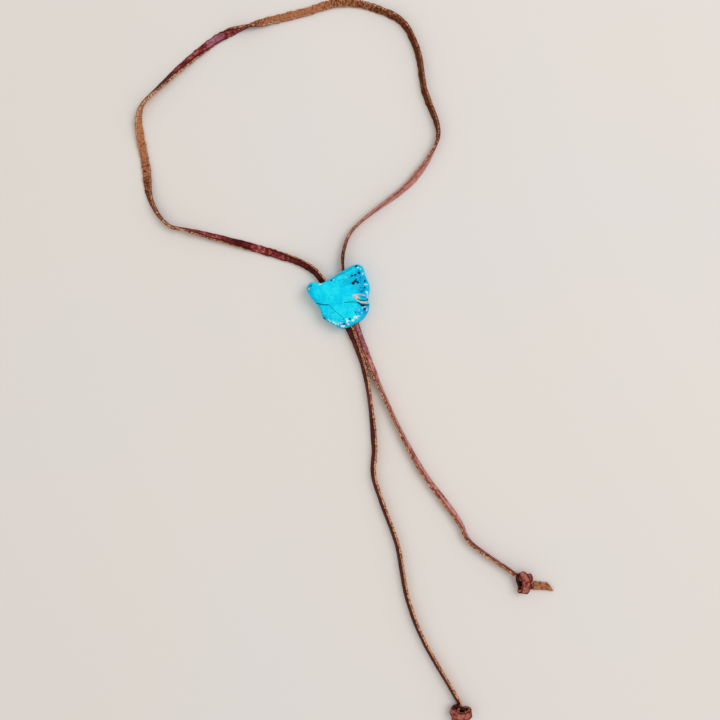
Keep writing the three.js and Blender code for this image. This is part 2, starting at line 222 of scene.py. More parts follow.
def spline(points, at, closed=False):
    """Centripetal Catmull-Rom curve, at a number of spans from its first point.

    Each span is the cubic through two neighbouring points whose slopes there weigh the chords
    on both sides by the square roots of their lengths. An open curve goes on straight past its
    ends, and a closed one goes round. A chord of no length counts as its neighbour.
    """
    no_length = 1e-4
    points = np.asarray(points, float)
    before, after = (points[-1:], points[:2]) if closed else (
        2 * points[:1] - points[1:2], 2 * points[-1:] - points[-2:-1])
    line = np.concatenate([before, points, after])
    span = np.clip(np.floor(at).astype(int), 0, len(line) - 4)
    t = (np.asarray(at) - span)[:, None]
    p0, p1, p2, p3 = (line[span + i] for i in range(4))
    gap1 = np.sqrt(np.linalg.norm(p2 - p1, axis=1, keepdims=True))
    gap1 = np.where(gap1 < no_length, 1, gap1)
    gap0, gap2 = (
        np.sqrt(np.linalg.norm(q - p, axis=1, keepdims=True)) for p, q in ((p0, p1), (p2, p3)))
    gap0 = np.where(gap0 < no_length, gap1, gap0)
    gap2 = np.where(gap2 < no_length, gap1, gap2)
    slope1 = gap1 * ((p1 - p0) / gap0 - (p2 - p0) / (gap0 + gap1) + (p2 - p1) / gap1)
    slope2 = gap1 * ((p2 - p1) / gap1 - (p3 - p1) / (gap1 + gap2) + (p3 - p2) / gap2)
    return (
        p1 + slope1 * t + (3 * (p2 - p1) - 2 * slope1 - slope2) * t ** 2
        + (2 * (p1 - p2) + slope1 + slope2) * t ** 3)


def even_spans(points, step, closed=False):
    """Where on a spline to stand so that the places are about a step apart along it, and the
    distances there. The length is the sum of 80 short chords to a span."""
    spans = len(points) - (0 if closed else 1)
    fine = np.linspace(0, spans, spans * 80 + 1)
    run = np.linalg.norm(np.diff(spline(points, fine, closed), axis=0), axis=1)
    distance = np.concatenate([[0], np.cumsum(run)])
    even = np.linspace(0, distance[-1], int(round(distance[-1] / step)) + 1)
    return np.interp(even, distance, fine), even


def unit(vectors):
    """The vectors at a length of 1."""
    return vectors / np.linalg.norm(vectors, axis=-1, keepdims=True)


def eased(table, distance, ease):
    """A table's value by distance, its corners rounded by a sliding mean one ease long."""
    shifts = np.linspace(-0.5, 0.5, 15) * ease
    shares = np.hanning(17)[1:-1]
    values = [np.interp(distance + shift, table[:, 0], table[:, 1]) for shift in shifts]
    return shares @ values / shares.sum()


def drift(distance, length, seed):
    """Slow change from -1 to 1 along a line: random values a length apart, smoothly joined."""
    at = distance / length - np.floor(distance.min() / length)
    values = np.random.default_rng(seed).uniform(-1, 1, int(at.max()) + 2)
    step = np.floor(at).astype(int)
    t = smooth_step(0, 1, at - step)
    return values[step] * (1 - t) + values[step + 1] * t


def rough(shape, reach, seed):
    """A grid of random heights of about 1, each smoothed over its neighbours within reach."""
    rows, columns = (np.fft.fftfreq(n)[:, None] * r for n, r in zip(shape, reach))
    soften = np.exp(-2 * (np.pi * rows) ** 2) * np.exp(-2 * (np.pi * columns.T) ** 2)
    heights = np.random.default_rng(seed).standard_normal(shape)
    field = np.fft.ifft2(np.fft.fft2(heights) * soften).real
    return field / field.std()


def make_piece(name, vertices, faces, flat_faces, attributes, material):
    """A smooth-shaded mesh at the origin; its last faces are flat, and so have sharp rims."""
    mesh = bpy.data.meshes.new(name)
    mesh.from_pydata(vertices.reshape(-1, 3), [], faces)
    smooth = np.ones(len(mesh.polygons), bool)
    if flat_faces:
        smooth[-flat_faces:] = False
    mesh.polygons.foreach_set("use_smooth", smooth)
    for label, values in attributes.items():
        kind, key = ("FLOAT_VECTOR", "vector") if values.shape[-1] == 3 else ("FLOAT", "value")
        mesh.attributes.new(label, kind, "POINT").data.foreach_set(
            key, values.astype(np.float32).ravel())
    mesh.materials.append(material)
    piece = bpy.data.objects.new(name, mesh)
    bpy.context.scene.collection.objects.link(piece)
    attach(piece, "root")
    return piece


def tube_faces(rings, points):
    """Quads between neighbouring rings, facing outwards, and a flat face over each end."""
    i, j = np.meshgrid(np.arange(rings - 1), np.arange(points), indexing="ij")
    k = (j + 1) % points
    here, beyond = i * points, (i + 1) * points
    quads = np.stack([here + j, here + k, beyond + k, beyond + j], -1)
    last = (rings - 1) * points
    caps = [list(range(points))[::-1], list(range(last, last + points))]
    return quads.reshape(-1, 4).tolist() + caps


# ---------------------------------------------------------------- shared material functions

def linear(code):
    """An sRGB hex colour as linear red, green, blue and alpha."""
    value = np.array([int(code[i:i + 2], 16) for i in (1, 3, 5)]) / 255
    value = np.where(value <= 0.04045, value / 12.92, ((value + 0.055) / 1.055) ** 2.4)
    return (*value.tolist(), 1.0)


def add(tree, kind, inputs=None, **settings):
    """A node with its settings; inputs maps a socket's name or number to a value or to the
    output that feeds it."""
    node = tree.nodes.new(kind)
    for name, value in settings.items():
        setattr(node, name, value)
    for socket, value in (inputs or {}).items():
        if isinstance(value, bpy.types.NodeSocket):
            tree.links.new(value, node.inputs[socket])
        else:
            node.inputs[socket].default_value = value
    return node


def blank_material(name):
    """A material with only its output, and its node tree."""
    material = bpy.data.materials.new(name)
    material.use_nodes = True
    material.node_tree.nodes.clear()
    return material, material.node_tree


class Painter:
    """Chains of nodes that several of the materials repeat, on one pattern vector in mm."""

    def __init__(self, tree, place):
        self.tree = tree
        self.place = place

    def grain(self, per_mm, detail=2.0, stretch=(1, 1, 1), shift=0.0):
        """Noise with so many grains a millimetre, 0 to 1."""
        at = add(self.tree, "ShaderNodeMapping", {
            "Vector": self.place, "Location": (shift, shift * 0.7, -shift), "Scale": stretch})
        return add(self.tree, "ShaderNodeTexNoise", {
            "Vector": at.outputs[0], "Scale": per_mm, "Detail": detail}).outputs[0]

    def sum(self, a, b, by=1.0, offset=0.0):
        """a + b x by + offset."""
        product = add(self.tree, "ShaderNodeMath", {0: b, 1: by, 2: offset},
                      operation="MULTIPLY_ADD")
        return add(self.tree, "ShaderNodeMath", {0: a, 1: product.outputs[0]}).outputs[0]

    def lay(self, under, over, value, low, high, most=1.0):
        """One colour laid over another by a share that goes from 0 to most, by a smooth step,
        as a value goes from low to high. Low may be the larger of the two."""
        share = add(self.tree, "ShaderNodeMapRange", {0: value, 1: low, 2: high, 4: most},
                    interpolation_type="SMOOTHSTEP")
        return add(self.tree, "ShaderNodeMix", {0: share.outputs[0], 6: under, 7: over},
                   data_type="RGBA").outputs[2]


def leather_material(colours):
    """Oil-tanned cowhide, split and cut into lace and dyed on its grain side only.

    The grain side is smooth and waxy, oxblood where it is dark and pinkish where it is rubbed;
    a painted sheen makes it pinkish where it faces the light, with two painted lilac highlights,
    and painted shade darkens it where it faces away. The flesh side is a napped tan brown with
    short fibres along the lace, darkened by painted shade where it faces away from the light.
    the two narrow edges paler, rough and specked, with the dye showing as a thin dark line.
    """
    material, tree = blank_material("oil_tanned_cowhide_lace")
    strip = add(tree, "ShaderNodeAttribute", attribute_name="strip")
    place = add(tree, "ShaderNodeVectorMath", {0: strip.outputs["Vector"], 3: 1000.0},
                operation="SCALE").outputs[0]
    paint = Painter(tree, place)
    parts = add(tree, "ShaderNodeSeparateXYZ", {0: place})
    across = add(tree, "ShaderNodeMath", {0: parts.outputs[1]}, operation="ABSOLUTE").outputs[0]
    dye_and_light, nap, sheen_and_wear = (
        add(tree, "ShaderNodeAttribute", attribute_name=name).outputs["Fac"]
        for name in ("dye_and_light", "nap", "sheen_and_wear"))

    # Where the dye is: it reaches about a quarter of a millimetre down the edges.
    ragged = paint.grain(0.8, 4.0)
    on_grain = add(tree, "ShaderNodeMapRange", {
        0: paint.sum(parts.outputs[2], ragged, 1.0, -0.5), 1: 0.34, 2: 0.48},
        interpolation_type="SMOOTHSTEP").outputs[0]

    # Flesh side: tufts of nap about 0.8 mm long, with darker hollows between them, made up of
    # fibres. Real ones are a few hundredths of a millimetre thick, and are drawn 0.2 mm thick
    # so that they show.
    fibres = paint.grain(4.5, 4.0, (0.4, 1.2, 1.2), 51.0)
    tufts = paint.sum(paint.grain(1.1, 4.0, (1.3, 0.5, 1)), fibres, 0.4, -0.2)
    hollows = paint.sum(paint.grain(1.3, 3.0, (1.0, 0.7, 1), 7.0), fibres, -0.5, 0.25)
    # Darker where the flesh side faces away from the light, as painted shade.
    flesh = paint.lay(colours.flesh_dark, colours.flesh_light, paint.sum(tufts, nap, 0.22),
                      0.34, 0.61)
    flesh = paint.lay(flesh, linear("#4a2010"), hollows, 0.48, 0.70, 0.55)

    # Cut edges: paler, with fibre ends in flecks of about 0.7 mm.
    flecks = paint.sum(paint.grain(1.1, 2.0, (1.0, 0.8, 1), 13.0), fibres, 0.7, -0.35)
    edge = paint.lay(colours.edge_dark, colours.edge_light, paint.sum(flecks, nap, 0.10),
                     0.43, 0.58)
    edge = paint.lay(edge, linear("#54220f"), hollows, 0.48, 0.66, 0.9)
    # Pinkish beside a pale grain side, from rubbed dye and from painted sheen.
    edge = paint.lay(edge, colours.grain_rubbed_and_lit, dye_and_light, 0.8, 1.1, 0.6)

    # Grain side: cloudy dye, in clouds of 4 mm, rubbed paler in streaks and dots of 1.5 mm,
    # paler with painted sheen where it faces the light and darker with painted shade where it
    # faces away, with painted lilac highlights, and darker where it rounds over to the cut edges.
    # The pores, really about 0.1 mm apart, are drawn 0.3 mm apart so that they show.
    clouds = paint.grain(0.25, 3.0, (0.6, 1, 1), 3.0)
    rubbed = paint.grain(0.65, 6.0, (1, 0.8, 1), 21.0)
    pores = paint.grain(3.5, 3.0, (1, 1, 1), 61.0)
    depth = paint.sum(clouds, rubbed, 1.3, -0.65)
    depth = paint.sum(depth, pores, 0.5, -0.25)
    depth = paint.sum(depth, dye_and_light, 0.36)
    grain = paint.lay(colours.grain_dark, colours.grain, depth, 0.12, 0.60)
    grain = paint.lay(grain, colours.grain_rubbed_and_lit, depth, 0.48, 0.98)
    # Painted lilac highlights.
    grain = paint.lay(grain, colours.painted_lilac_highlight, paint.sum(sheen_and_wear, rubbed, 0.7, -0.35), 0.2, 1.0)
    grain = paint.lay(grain, linear("#ac6858"), paint.sum(rubbed, sheen_and_wear, -0.5), 0.62, 0.85)
    rim = paint.sum(paint.sum(across, ragged, 0.8, -0.4), dye_and_light, -0.5)
    grain = paint.lay(grain, colours.grain_dark, rim, 1.05, 1.60, 0.8)

    # All three together, nearly black with painted shade on the knots' sides away from the
    # light, and darker where the lace comes out at the top of the slab.
    skin = paint.lay(flesh, edge, paint.sum(across, ragged, 0.6, -0.3), 1.68, 1.98)
    skin = paint.lay(skin, linear("#2c0d08"), nap, -1.1, -2.0, 0.85)
    skin = add(tree, "ShaderNodeMix", {0: on_grain, 6: skin, 7: grain}, data_type="RGBA")
    gloss = add(tree, "ShaderNodeMapRange", {0: rubbed, 1: 0.3, 2: 0.7, 3: 0.46, 4: 0.60},
                interpolation_type="SMOOTHSTEP")
    roughness = add(tree, "ShaderNodeMix", {0: on_grain, 2: 0.95, 3: gloss.outputs[0]})
    creases = add(tree, "ShaderNodeMapRange", {
        0: paint.grain(1.1, 2.0, (1.4, 0.5, 1), 31.0), 1: 0.2, 2: 0.8, 4: 0.25},
        interpolation_type="SMOOTHSTEP")
    height = add(tree, "ShaderNodeMix", {
        0: on_grain, 2: paint.sum(tufts, fibres, 0.8),
        3: paint.sum(creases.outputs[0], pores, 0.2)})
    bump = add(tree, "ShaderNodeBump", {
        "Strength": 0.8, "Distance": 0.0003, "Height": height.outputs[0]})
    shader = add(tree, "ShaderNodeBsdfPrincipled", {
        "Base Color": skin.outputs[2], "Roughness": roughness.outputs[0], "IOR": 1.5,
        "Normal": bump.outputs[0], "Specular IOR Level": 0.1})
    add(tree, "ShaderNodeOutputMaterial", {0: shader.outputs[0]})
    return material


def fibre_material(colours):
    """Loose collagen fibres of the same hide, undyed: paler than the nap and quite matt."""
    material, tree = blank_material("undyed_cowhide_fibre")
    tone = add(tree, "ShaderNodeAttribute", attribute_name="tone").outputs["Fac"]
    colour = add(tree, "ShaderNodeMix", {0: tone, 6: colours.flesh_dark, 7: colours.edge_light},
                 data_type="RGBA")
    shader = add(tree, "ShaderNodeBsdfPrincipled", {
        "Base Color": colour.outputs[2], "Roughness": 0.9, "IOR": 1.5, "Sheen Weight": 0.2})
    add(tree, "ShaderNodeOutputMaterial", {0: shader.outputs[0]})
    return material


def turquoise_material(colours):
    """Turquoise cut as a slab, tumbled and waxed: vivid cyan with a dull polish.

    Its flanks are broken, so darker and bluer, with chalky white crumbs, and its rounded rim is
    darker with painted shade; brown host rock runs through it as veins and as one tan patch, and
    cracks and pits hold dark dirt.
    """
    material, tree = blank_material("waxed_turquoise_slab")
    place = add(tree, "ShaderNodeTexCoord").outputs["Object"]
    place = add(tree, "ShaderNodeVectorMath", {0: place, 3: 1000.0}, operation="SCALE").outputs[0]
    paint = Painter(tree, place)
    fine = paint.grain(1.5, 4.0)
    broad = paint.grain(0.22, 3.0, (1, 1, 1), 5.0)
    small = paint.grain(0.9, 3.0, (1, 1, 1), 11.0)
    crumbs = paint.grain(1.3, 5.0, (1, 1, 1), 41.0)
    patches = paint.grain(0.16, 4.0, (0.8, 1.5, 1), 71.0)
    veins, chalk, rock, deep = (
        add(tree, "ShaderNodeAttribute", attribute_name=name).outputs["Fac"]
        for name in ("veins", "chalk", "rock", "deep"))

    # The stone: pale clouds about 5 mm across, mottling of 1 mm that also lays painted shade over
    # the rounded rim, a web of faint cracks where large patches meet, and the flanks' deeper blue
    # with nearly black blue where it is strongest.
    stone = paint.lay(colours.stone, colours.stone_pale, broad, 0.40, 0.66)
    stone = paint.lay(stone, colours.stone_shade, paint.sum(deep, small, 2.2, -1.1),
                      -0.60, 0.30, 0.85)
    from_middle = add(tree, "ShaderNodeMath", {0: patches, 1: 0.5}, operation="SUBTRACT")
    web = add(tree, "ShaderNodeMath", {0: from_middle.outputs[0]}, operation="ABSOLUTE")
    stone = paint.lay(stone, linear("#007f9c"), web.outputs[0], 0.016, 0.0, 0.3)
    stone = paint.lay(stone, colours.stone_deep, paint.sum(deep, small, 1.5, -0.75), 0.30, 0.70)
    stone = paint.lay(stone, linear("#005f96"), paint.sum(deep, fine, 2.4, -1.45), 0.50, 0.85)

    # What lies in it: chalky crumbs, host rock, and dirt in the veins and pits.
    on_chalk, on_rock = (
        add(tree, "ShaderNodeMapRange", {0: value, 1: low, 2: high},
            interpolation_type="SMOOTHSTEP").outputs[0]
        for value, low, high in (
            (paint.sum(chalk, crumbs, 3.6, -1.8), 0.60, 0.85),
            (paint.sum(rock, fine, 0.9, -0.45), 0.40, 0.58)))
    tan = paint.lay(linear("#7d6853"), linear("#ddd3c8"), fine, 0.34, 0.50)
    for share, over in ((on_chalk, colours.chalk), (on_rock, tan)):
        stone = add(tree, "ShaderNodeMix", {0: share, 6: stone, 7: over},
                    data_type="RGBA").outputs[2]
    stone = paint.lay(stone, linear("#06222b"), paint.sum(veins, fine, 0.5, -0.25), 0.25, 0.95)

    roughness = add(tree, "ShaderNodeMapRange", {
        0: paint.sum(on_chalk, on_rock), 1: 0.0, 2: 1.0, 3: 0.42, 4: 0.85},
        interpolation_type="SMOOTHSTEP")
    bump = add(tree, "ShaderNodeBump", {
        "Strength": 0.2, "Distance": 0.0003, "Height": paint.sum(fine, small, 0.5)})
    shader = add(tree, "ShaderNodeBsdfPrincipled", {
        "Base Color": stone, "Roughness": roughness.outputs[0], "IOR": 1.61,
        "Normal": bump.outputs[0], "Specular IOR Level": 0.05})
    add(tree, "ShaderNodeOutputMaterial", {0: shader.outputs[0]})
    return material


def surface_material(colour):
    """A plain pale painted board, quite matt, with hardly any clouding."""
    material, tree = blank_material("matt_painted_board")
    place = add(tree, "ShaderNodeTexCoord").outputs["Object"]
    clouds = add(tree, "ShaderNodeTexNoise", {"Vector": place, "Scale": 6.0, "Detail": 2.0})
    tone = Painter(tree, place).lay(colour, linear("#e6e2dc"), clouds.outputs[0], 0.3, 0.7)
    shader = add(tree, "ShaderNodeBsdfPrincipled", {
        "Base Color": tone, "Roughness": 0.8, "Specular IOR Level": 0.2})
    add(tree, "ShaderNodeOutputMaterial", {0: shader.outputs[0]})
    return material


# ---------------------------------------------------------------- settings

def length_property(name, description, default):
    """A length that a user may change, in metres."""
    return bpy.props.FloatProperty(
        name=name, description=description, default=default, min=0, unit="LENGTH",
        precision=5)


def colour_property(name, description, code):
    """A colour that a user may change; its default is an sRGB hex colour."""
    return bpy.props.FloatVectorProperty(
        name=name, description=description, default=linear(code), size=4, min=0, max=1,
        subtype="COLOR")


class LaceSettings(bpy.types.PropertyGroup):
    width: length_property("Width", "Across the flat of the lace", 0.0042)
    thickness: length_property("Thickness", "Of the leather", 0.0015)
    corner: length_property("Corner", "Radius of the lace's four long corners", 0.00028)
    step: length_property("Step", "Between the rings of the lace's mesh", 0.00045)
    grain: colour_property("Grain", "Dyed smooth side", "#86282a")
    # The dye's darkest, and painted shade where the grain faces away from the light.
    grain_dark: colour_property("Grain, dark", "Where the dye is darkest", "#42080a")
    # Pale grain: rubbed dye, and a painted sheen where it faces the light.
    grain_rubbed_and_lit: colour_property("Grain, rubbed", "Where the dye is rubbed pale", "#c8877f")
    # A painted lilac highlight on the grain.
    painted_lilac_highlight: colour_property("Wax bloom", "Wax that has come to the surface", "#a8708c")
    # Also where painted shade darkens the flesh side.
    flesh_dark: colour_property("Flesh, dark", "Rough side in the nap's hollows", "#5a2a10")
    flesh_light: colour_property("Flesh, light", "Rough side on the nap", "#bd7d58")
    edge_dark: colour_property("Cut edge, dark", "Between the edge's fibres", "#7a3e27")
    edge_light: colour_property("Cut edge, light", "The edge's fibre ends", "#e8ac7e")


class FibreSettings(bpy.types.PropertyGroup):
    count: bpy.props.IntProperty(
        name="Count", description="Loose fibres along the whole lace", default=12000, min=0)
    length: length_property("Length", "Of the longest fibres", 0.0010)
    diameter: length_property("Diameter", "At the root of a tuft", 0.00012)


class SlabSettings(bpy.types.PropertyGroup):
    thickness: length_property("Thickness", "From the sawn back to the face",
                               SLAB_HIGH.z - SLAB_LOW.z)
    rounding: length_property("Rounding", "Of the rim round the face", 0.0011)
    stone: colour_property("Stone", "Main colour of the face", "#00dafc")
    stone_pale: colour_property("Stone, pale", "Paler clouds in the face", "#1eecff")
    stone_shade: colour_property("Stone, shaded", "Darker mottling", "#00bee4")
    stone_deep: colour_property("Stone, deep", "Broken flanks", "#00b4ee")
    chalk: colour_property("Chalk", "White crumbs", "#d4f0f4")


class StageSettings(bpy.types.PropertyGroup):
    surface: colour_property("Surface", "What the necklace lies on", "#e4e2df")
    key_power: bpy.props.FloatProperty(
        name="Key light", description="Power of the window-like light at the right",
        default=12.5, min=0, unit="POWER")
    fill: bpy.props.FloatProperty(
        name="Fill", description="Strength of the light from all round", default=0.66, min=0)
    camera_height: length_property("Camera height", "Over the surface", 0.48)
    lens: bpy.props.FloatProperty(
        name="Lens", description="Focal length", default=45.06, min=1, unit="CAMERA")


# ---------------------------------------------------------------- leather

def lace_section(lace, flat_points=7, side_points=3, arc_points=3):
    """A rectangle with rounded corners, anticlockwise from its right side: quarter circles at
    the corners, joined by straight runs of points."""
    x = lace.width / 2 - lace.corner
    y = lace.thickness / 2 - lace.corner
    runs = []
    for start, (cx, cy), between in ((0, (x, y), flat_points), (90, (-x, y), side_points),
                                     (180, (-x, -y), flat_points), (270, (x, -y), side_points)):
        angles = np.radians(np.linspace(start, start + 90, arc_points))
        arc = np.stack([cx + lace.corner * np.cos(angles), cy + lace.corner * np.sin(angles)], 1)
        onwards = np.radians(start + 180)
        length = 2 * (x if between == flat_points else y)
        shares = np.linspace(0, 1, between + 2)[1:-1, None]
        run = arc[-1] + shares * length * np.array([np.cos(onwards), np.sin(onwards)])
        runs += [arc, run]
    return np.concatenate(runs)


def lying_lace(lace):
    """The free lace's centre line, its width and grain directions, and distances.

    Seen from above the line is the route's spline. Its height is what keeps the lowest corner
    of the rolled section on the surface, raised towards the holes' height where it is held.
    The width direction is the level left turned up by the roll.
    """
    at, distance = even_spans(ROUTE, lace.step)
    plan = spline(ROUTE, at)
    roll = np.radians(eased(ROLL, distance, TWIST_EASE))
    held = eased(HELD, distance, HELD_EASE)
    across, flat = np.abs(np.sin(roll)), np.abs(np.cos(roll))
    half, half_thick = lace.width / 2, lace.thickness / 2
    resting = np.maximum(half * across + (half_thick - lace.corner) * flat,
                         (half - lace.corner) * across + half_thick * flat)
    height = resting * (1 - held) + HOLE_HEIGHT * held
    place = np.column_stack([plan, height])
    level = unit(np.gradient(plan, axis=0))
    left = np.column_stack([-level[:, 1], level[:, 0], np.zeros(len(level))])
    width = left * np.cos(roll)[:, None] + np.array([0, 0, 1]) * np.sin(roll)[:, None]
    return place, width, distance


def directions(place, width):
    """The run, the grain side's outward direction and the across direction at each ring."""
    run = unit(np.gradient(place, axis=0))
    grain = unit(np.cross(run, width))
    return run, grain, np.cross(grain, run)


# How far real leather strays from a clean section: heights and shifts, each with the length
# over which it comes and goes, or with its reach in rings along and points round the lace.
CUT_SLOW, CUT_SLOW_LENGTH = 1.2e-4, 0.009
CUT_QUICK, CUT_QUICK_LENGTH = 2.2e-4, 0.0016
FRAY, FRAY_LENGTH = 1.2e-4, 0.0017
UNEVEN, UNEVEN_LENGTH = 0.05, 0.014  # as a share of the thickness
NAP_HEIGHT, NAP_REACH = 6e-5, (1.4, 1.0)
WAVE_HEIGHT, WAVE_REACH = 2.5e-5, (6, 2.5)


def dressed_section(lace, distance, seed):
    """The section at each ring as it really is.

    Each cut edge moves in and out by a slow drift and a quick one, and is frayed downwards at
    the flesh side's corner. The thickness drifts a little. The nap roughens the flesh side and
    the edges, and the grain side is faintly wavy, both square to the section.
    """
    x, y = lace_section(lace).T
    side, up = x / x.max(), y / y.max()
    shape = (len(distance), len(x))
    cut = [
        CUT_SLOW * drift(distance, CUT_SLOW_LENGTH, seed + k)
        + CUT_QUICK * drift(distance, CUT_QUICK_LENGTH, seed + k + 2) for k in (0, 1)]
    near_edge = smooth_step(0.4, 1, np.abs(side)) * np.sign(x)
    shift = np.where(x > 0, cut[0][:, None], cut[1][:, None]) * near_edge
    thick = 1 + UNEVEN * drift(distance, UNEVEN_LENGTH, seed + 5)[:, None]
    napped = smooth_step(0.25, 0.6, -up) + 0.6 * smooth_step(0.9, 1, np.abs(side))
    nap = rough(shape, NAP_REACH, seed + 6) * NAP_HEIGHT * napped
    waves = rough(shape, WAVE_REACH, seed + 7) * WAVE_HEIGHT * smooth_step(0, 0.6, up)
    fray = [FRAY * (1 + drift(distance, FRAY_LENGTH, seed + k + 8)) for k in (0, 1)]
    torn = smooth_step(0.75, 1, np.abs(side)) * smooth_step(0, 1, -up)
    outwards = unit(np.stack([side, up], 1))
    section_x = x + shift + (nap + waves) * outwards[:, 0]
    section_y = (y * thick + (nap + waves) * outwards[:, 1]
                 - np.where(x > 0, fray[0][:, None], fray[1][:, None]) * torn)
    return section_x, section_y


def strip_places(lace, distance, flip):
    """Each point's place in the straight, unlaid lace: distance, across and out of the grain."""
    x, y = lace_section(lace).T
    return np.stack(np.broadcast_arrays(distance[:, None], flip * x, y), -1)


def leather_tube(name, place, width, distance, lace, material, seed, flip=1, slant=0):
    """Sweeps the lace's section along a line. slant leans the last rings over, so that the far
    end is cut at an angle: each point slides along the run by its place across times it."""
    run, grain, across = directions(place, width)
    section_x, section_y = dressed_section(lace, distance, seed)
    vertices = (place[:, None] + across[:, None] * section_x[..., None]
                + grain[:, None] * section_y[..., None])
    if slant:
        along = np.abs(distance - distance[-1])
        lean = slant * (1 - smooth_step(*CUT_REACH, along))
        vertices += run[:, None] * (section_x * lean[:, None])[..., None]
    vertices[..., 2] = np.maximum(vertices[..., 2], SURFACE_GAP)
    rings, points = section_x.shape
    strip = strip_places(lace, distance, flip)
    finish = {
        label: np.repeat(np.interp(distance, *table.T)[:, None], points, 1)[..., None]
        for label, table in (("dye_and_light", DYE_AND_LIGHT), ("sheen_and_wear", SHEEN_AND_WEAR), ("nap", NAP_AND_SHADE))}
    return make_piece(name, vertices, tube_faces(rings, points), 2,
                      {"strip": strip, **finish}, material)


def knot_line(name, free_end, free_run, free_width):
    """A knot's centre line, widths and distances: a spline through the end of the free lace, a
    short straight lead and the knot's rows, turned and moved to their place."""
    middle, turn, mirrored = KNOT_PLACES[name]
    side = -1 if mirrored else 1
    angle = np.radians(turn)
    spin = np.array([[np.cos(angle), -np.sin(angle), 0], [np.sin(angle), np.cos(angle), 0],
                     [0, 0, 1]])
    rows = np.array(KNOT, float)
    rows[..., 1] *= side
    rows[:, 1] *= side
    rows = rows @ spin.T
    rows[:, 0] += (*middle, 0)
    places = np.concatenate([[free_end, free_end + free_run * KNOT_LEAD], rows[:, 0]])
    widths = np.concatenate([[free_width, free_width], unit(rows[:, 1])])
    at, distance = even_spans(places, KNOT_STEP)
    return spline(places, at), unit(spline(widths, at)), distance, side


def stray_fibres(place, width, distance, lace, fibres):
    """Loose fibres on the cut edges and the flesh side.

    Each is a thin three-sided spike of three rings and a tip, longer where they come in tufts.
    Its middle line leaves the leather outwards and bends over along the lace by the square of
    the way up it. Real ones are much thinner, and these are drawn so that they show.
    """
    rng = np.random.default_rng(41)
    count = fibres.count
    run, grain, across = directions(place, width)
    ring = rng.integers(4, len(place) - 4, count)

    # Roots: nearly three in four on the two cut edges, mostly low down, and the rest below.
    on_edge = rng.random(count) < 0.72
    side = np.where(rng.random(count) < 0.5, -1, 1)
    x = np.where(on_edge, side, rng.uniform(-0.95, 0.95, count)) * lace.width / 2
    y = np.where(on_edge, rng.uniform(-1, 0.6, count) ** 3 * 0.6 - 0.4, -1) * lace.thickness / 2
    root = (place[ring] + across[ring] * (x * 0.985)[:, None] + grain[ring] * (y * 0.97)[:, None])

    # Middle lines: outwards, leaning by chance, and bent to one side or the other.
    outwards = np.where(on_edge[:, None], across[ring] * side[:, None], -grain[ring])
    lean = (rng.normal(0, 0.6, (count, 1)) * run[ring]
            + rng.normal(-0.7, 0.6, (count, 1)) * grain[ring])
    outwards = unit(outwards + lean)
    bend = unit(run[ring] * np.sign(rng.normal(size=(count, 1))) - outwards * 0.4)
    tuft = 0.75 + 0.45 * drift(distance, 0.0025, 43)[ring]
    length = (fibres.length * tuft * rng.uniform(0.25, 1, count) ** 1.5)[:, None]
    share = np.linspace(0, 1, 4)
    spine = (root[:, None] + outwards[:, None] * (length * share)[..., None]
             + bend[:, None] * (length * share ** 2 * 0.7)[..., None])

    # Rings of three points round the middle line, a fifth as wide at the top as at the root.
    first = unit(np.cross(outwards, bend + 0.01))
    second = np.cross(outwards, first)
    angles = np.radians([0, 120, 240])
    radius = fibres.diameter / 2 * rng.uniform(0.6, 1, (count, 1, 1))
    radius = radius * (1 - 0.8 * share[:3])[:, None]
    turned = (first[:, None, None] * np.cos(angles)[:, None]
              + second[:, None, None] * np.sin(angles)[:, None])
    rings = spine[:, :3, None] + turned * radius[..., None]
    vertices = np.concatenate([rings.reshape(count, 9, 3), spine[:, 3:]], 1)
    vertices[..., 2] = np.maximum(vertices[..., 2], SURFACE_GAP)
    lower = np.arange(6).reshape(2, 3)
    beside = np.roll(lower, -1, axis=1)
    walls = np.stack([lower, beside, beside + 3, lower + 3], -1).reshape(-1, 4)
    tips = np.stack([lower[0] + 6, np.roll(lower[0], -1) + 6, np.full(3, 9)], -1)
    start = (np.arange(count) * 10)[:, None, None]
    faces = (
        (walls + start).reshape(-1, 4).tolist() + (tips + start).reshape(-1, 3).tolist()
        + (np.array([[2, 1, 0]]) + start).reshape(-1, 3).tolist())
    tone = np.repeat(rng.uniform(0.35, 1, (count, 1)), 10, 1)[..., None]
    return make_piece("lace_fibres", vertices, faces, 0, {"tone": tone},
                      fibre_material(lace))


# ---------------------------------------------------------------- slab

def spots(x, y, rows):
    """The strongest of several soft oval spots, each 1 to halfway out, 0.5 at its outline, 0 at
    one and a half times its size and -0.5 from twice its size. A row has place, half width,
    half height, turn in degrees and strength; lengths in millimetres."""
    value = np.full_like(x, -0.5)
    for cx, cy, half_width, half_height, turn, strength in rows:
        a = np.radians(turn)
        u = ((x - cx) * np.cos(a) + (y - cy) * np.sin(a)) / half_width
        v = ((y - cy) * np.cos(a) - (x - cx) * np.sin(a)) / half_height
        inside = np.clip(1.5 - np.hypot(u, v), -0.5, 1)
        value = np.maximum(value, np.where(inside > 0, strength, 1) * inside)
    return value


def line_distance(x, y, points):
    """How far each place is from a line of straight stretches, and its share along it."""
    best, share = np.full_like(x, 1e9), np.zeros_like(x)
    for i, ((ax, ay), (bx, by)) in enumerate(zip(points, points[1:])):
        dx, dy = bx - ax, by - ay
        t = np.clip(((x - ax) * dx + (y - ay) * dy) / (dx * dx + dy * dy), 0, 1)
        away = np.hypot(x - ax - t * dx, y - ay - t * dy)
        share = np.where(away < best, (i + t) / (len(points) - 1), share)
        best = np.minimum(best, away)
    return best, share


